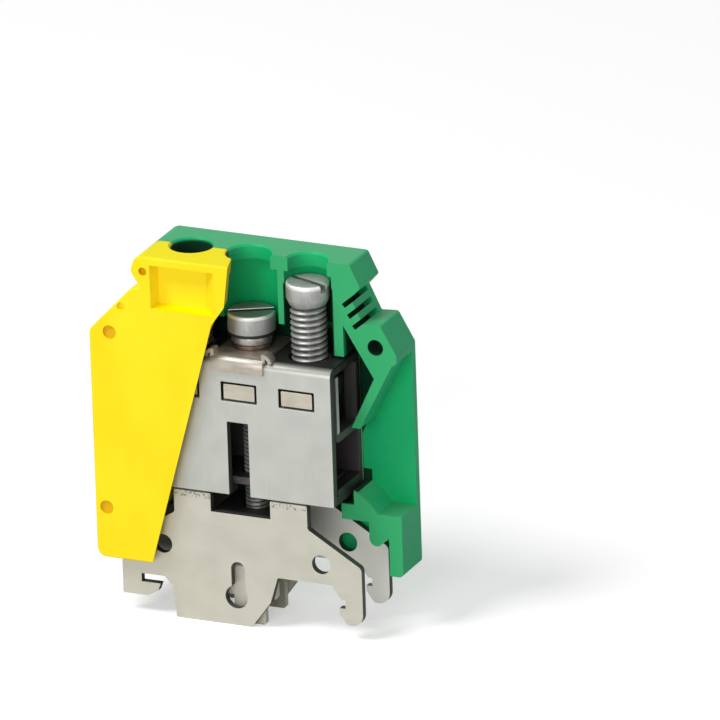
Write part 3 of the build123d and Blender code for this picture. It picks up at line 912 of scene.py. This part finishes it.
def screwFinish(name, s, middle, top):
    steel, paintedShadeAndHighlight = metalLooks["screw_steel"], screwSettings["paintedShadeAndHighlight"]
    finish = metal(name + " steel", steel)
    x, y, z = finish.x - middle.x / mm, finish.y - middle.y / mm, finish.z
    slotFloor = top - s["slotDepth"] - paintedShadeAndHighlight["slotFloor"]
    seatLevel = top - s["headHeight"]
    turn = math.radians(s["slotTurn"])
    shank = z < seatLevel - s["taper"]
    root = shank * apart(x, y).ramp(s["outer"] / 2 - paintedShadeAndHighlight["rootFade"], s["core"] / 2)
    slot = abs(y * math.cos(turn) - x * math.sin(turn)) < s["slotWidth"] / 2 + paintedShadeAndHighlight["slotPast"]
    slot = slot * (z < top - paintedShadeAndHighlight["slotTop"]) * (z > slotFloor)
    seat = (z < seatLevel + s["seat"]) * (z > seatLevel - paintedShadeAndHighlight["seatFloor"])
    face = (z > slotFloor) * finish.faceZ.ramp(*paintedShadeAndHighlight["topFacing"])
    least, most = paintedShadeAndHighlight["rimHighlightFacing"]
    rim = (z > top - s["edge"] - paintedShadeAndHighlight["rimHighlightDepth"]) * (finish.faceZ > least) * (finish.faceZ < most)
    # painted shade in the slot, the roots, the seat band and on the top; a darker tone over the shank
    dark = (shank * paintedShadeAndHighlight["shank"]).most(root * paintedShadeAndHighlight["root"]).most(slot * s["slotDark"])
    dark = dark.most(seat * s["seatDark"]).most(face * s["topDark"])
    # painted highlight on the head's rim
    finish.lay(rim * paintedShadeAndHighlight["rimHighlightShare"], paintedShadeAndHighlight["rimHighlight"])
    finish.lay(dark, paintedShadeAndHighlight["dark"])
    return finish.close({"Metallic": steel["metal"]})


def headShape(s, r, base, top):  # half outline of a head, from its middle below to its middle on top
    edge, outer = s["edge"], s["outer"] / 2
    upper = arc(r - edge, top - edge, edge, 0, 90, 5)
    if s["taper"]:
        neck = base - s["taper"]
        lower = [(outer, neck), (outer + screwSettings["collar"], neck)]
        lower += [(r + x, base + z) for x, z in screwSettings["shoulder"]]
    else:
        lower = [(outer, base), *arc(r - edge / 2, base + edge / 2, edge / 2, -90, 0, 4)]
    return [(0, lower[0][1]), *lower, *upper, (0, top)]


def makeScrew(name, node, body, s):
    low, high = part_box(node)
    middle = (low + high) / 2
    top, tip = high.z / mm, low.z / mm
    base = top - s["headHeight"]
    radius = (high.x - low.x) / 2 / mm
    head = bareObject("head", turned("head", headShape(s, radius, base, top)))
    slotSize = (radius * 3, s["slotWidth"], 2 * s["slotDepth"])    # longer than the head is wide
    slot = bareObject("slot", brick("slot", slotSize, (0, 0, top), s["slotTurn"]))
    cutAway(head, "slot", slot)
    roundEdges(head, screwSettings["slotEdge"], screwSettings["slotAngle"])
    headMesh = evaluated(head)
    for tool in (head, slot):
        bpy.data.objects.remove(tool)
    neck = base - s["taper"] + screwSettings["intoHead"]
    finish = screwFinish(name.replace("_", " "), s, middle, top)
    thread = grown("thread", threads, {
        "Outer Radius": s["outer"] / 2 * mm,
        "Core Radius": s["core"] / 2 * mm,
        "Tip Radius": s["tip"] / 2 * mm,
        "Pitch": s["pitch"] * mm,
        "Low": tip * mm,
        "High": neck * mm,
        "Lead": s["lead"] * mm,
        "Segments": screwSettings["segments"],
        "Rows": int((neck - tip) / s["pitch"] * screwSettings["rowsPerTurn"]) + 2,
        "Finish": finish})
    outward(thread)
    mesh = joinMeshes(name, [headMesh, thread])
    mesh.transform(Matrix.Translation((middle.x, middle.y, 0)))
    mesh.materials.clear()
    mesh.materials.append(finish)
    smooth(mesh, screwSettings["smooth"])
    screw = bareObject(name, mesh)
    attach(screw, body)
    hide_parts(node)


makeScrew("left_clamp_screw_threaded", "left_clamp_screw", "left_screw", screwSettings["clamp"])
makeScrew("right_clamp_screw_threaded", "right_clamp_screw", "right_screw", screwSettings["clamp"])
makeScrew("foot_screw_threaded", "foot_screw", "middle_screw", screwSettings["foot"])
print("screws made: 3")


# Spring washer under the foot screw, a ring with rounded edges and a slanted gap
springSettings = {              # sizes in mm
    "outer": 6.5,
    "inner": 4.5,
    "edge": 0.3,
    "gap": 0.7,
    "gapTurn": 75.0,
    "gapTilt": 25.0,
    "cutter": (4.0, 5.0),       # length and height of what cuts the gap
    "smooth": 40.0,
}


def makeSpring(name, node, body, s):
    low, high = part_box(node)
    middle = (low + high) / 2
    bottom, top = low.z / mm, high.z / mm
    edge, inner, outer = s["edge"], s["inner"] / 2, s["outer"] / 2
    profile = [
        *arc(outer - edge, bottom + edge, edge, 270, 360, 4),
        *arc(outer - edge, top - edge, edge, 0, 90, 4),
        *arc(inner + edge, top - edge, edge, 90, 180, 4),
        *arc(inner + edge, bottom + edge, edge, 180, 270, 4),
    ]
    ring = bareObject("ring", turned("ring", profile, closed=True))
    place = Matrix.Rotation(math.radians(s["gapTurn"]), 3, "Z") @ Vector((outer, 0, 0))
    place.z = (bottom + top) / 2
    length, height = s["cutter"]
    gap = bareObject("gap", brick("gap", (length, s["gap"], height), place, s["gapTurn"], s["gapTilt"]))
    cutAway(ring, "gap", gap)
    mesh = evaluated(ring)
    for tool in (ring, gap):
        bpy.data.objects.remove(tool)
    mesh.transform(Matrix.Translation((middle.x, middle.y, 0)))
    mesh.materials.clear()
    mesh.materials.append(materials["washer_steel"])
    smooth(mesh, s["smooth"])
    spring = bareObject(name, mesh)
    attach(spring, body)
    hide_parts(node)


makeSpring("spring_washer_ring", "lock_washer", "block", springSettings)
print("spring washer made")


# Floor, world and lamps
studio = {
    "floorSize": 8.0,           # m
    "floorDrop": 0.00002,       # m under the block, so that the two faces don't meet
    "floorColour": (0.82, 0.82, 0.82, 1.0),
    "floorRough": 0.9,
    "floorShine": 0.1,
    "floorLift": 0.42,          # light added for the camera alone
    "worldLevel": 0.28,         # what lights the block
    "aim": (0.0, 0.0, 0.03),    # m, where the lamps point
    "lamps": (                  # name, place in m, size in m, watts
        ("key", (-0.4, -0.45, 0.85), 0.4, 5.8),
        ("front", (0.1, -0.8, 0.3), 0.5, 2.7),
        ("side", (0.8, -0.1, 0.4), 0.6, 0.8),
    ),
}


def makeFloor(s):
    half = s["floorSize"] / 2
    corners = [(-half, -half, 0), (half, -half, 0), (half, half, 0), (-half, half, 0)]
    mesh = bpy.data.meshes.new("floor")
    mesh.from_pydata(corners, [], [(0, 1, 2, 3)])
    floor = bareObject("floor", mesh)
    floor.location.z = -s["floorDrop"]
    finish = Finish("pale floor")
    finish.colour, finish.rough = s["floorColour"], s["floorRough"]
    seen = finish.add("ShaderNodeLightPath")["Is Camera Ray"]
    lift = finish.mix(seen, (0, 0, 0, 1), (1, 1, 1, 1))
    mesh.materials.append(finish.close({
        "Emission Color": lift,
        "Emission Strength": s["floorLift"],
        "Specular IOR Level": s["floorShine"]}))


def makeWorld(s):
    world = bpy.data.worlds.new("studio")
    scene.world = world
    world.use_nodes = True
    tree = Tree(world.node_tree)
    world.node_tree.nodes.clear()
    path = tree.add("ShaderNodeLightPath")
    seen = (path["Is Camera Ray"] + path["Is Glossy Ray"] + path["Is Transmission Ray"]).least(1.0)
    level = s["worldLevel"] + seen * (1 - s["worldLevel"])
    sky = tree.add("ShaderNodeBackground", None, {"Color": (1, 1, 1, 1), "Strength": level})["Background"]
    tree.add("ShaderNodeOutputWorld", None, {"Surface": sky})


def makeLamp(name, place, size, watts, aim):
    data = bpy.data.lights.new(name, "AREA")
    data.shape = "DISK"
    data.size = size
    data.energy = watts
    lamp = bpy.data.objects.new(name, data)
    lamp.location = place
    lamp.rotation_euler = (Vector(aim) - Vector(place)).to_track_quat("-Z", "Y").to_euler()
    scene.collection.objects.link(lamp)


makeFloor(studio)
makeWorld(studio)
for lamp in studio["lamps"]:
    makeLamp(*lamp, studio["aim"])
print("floor, world and lamps made")
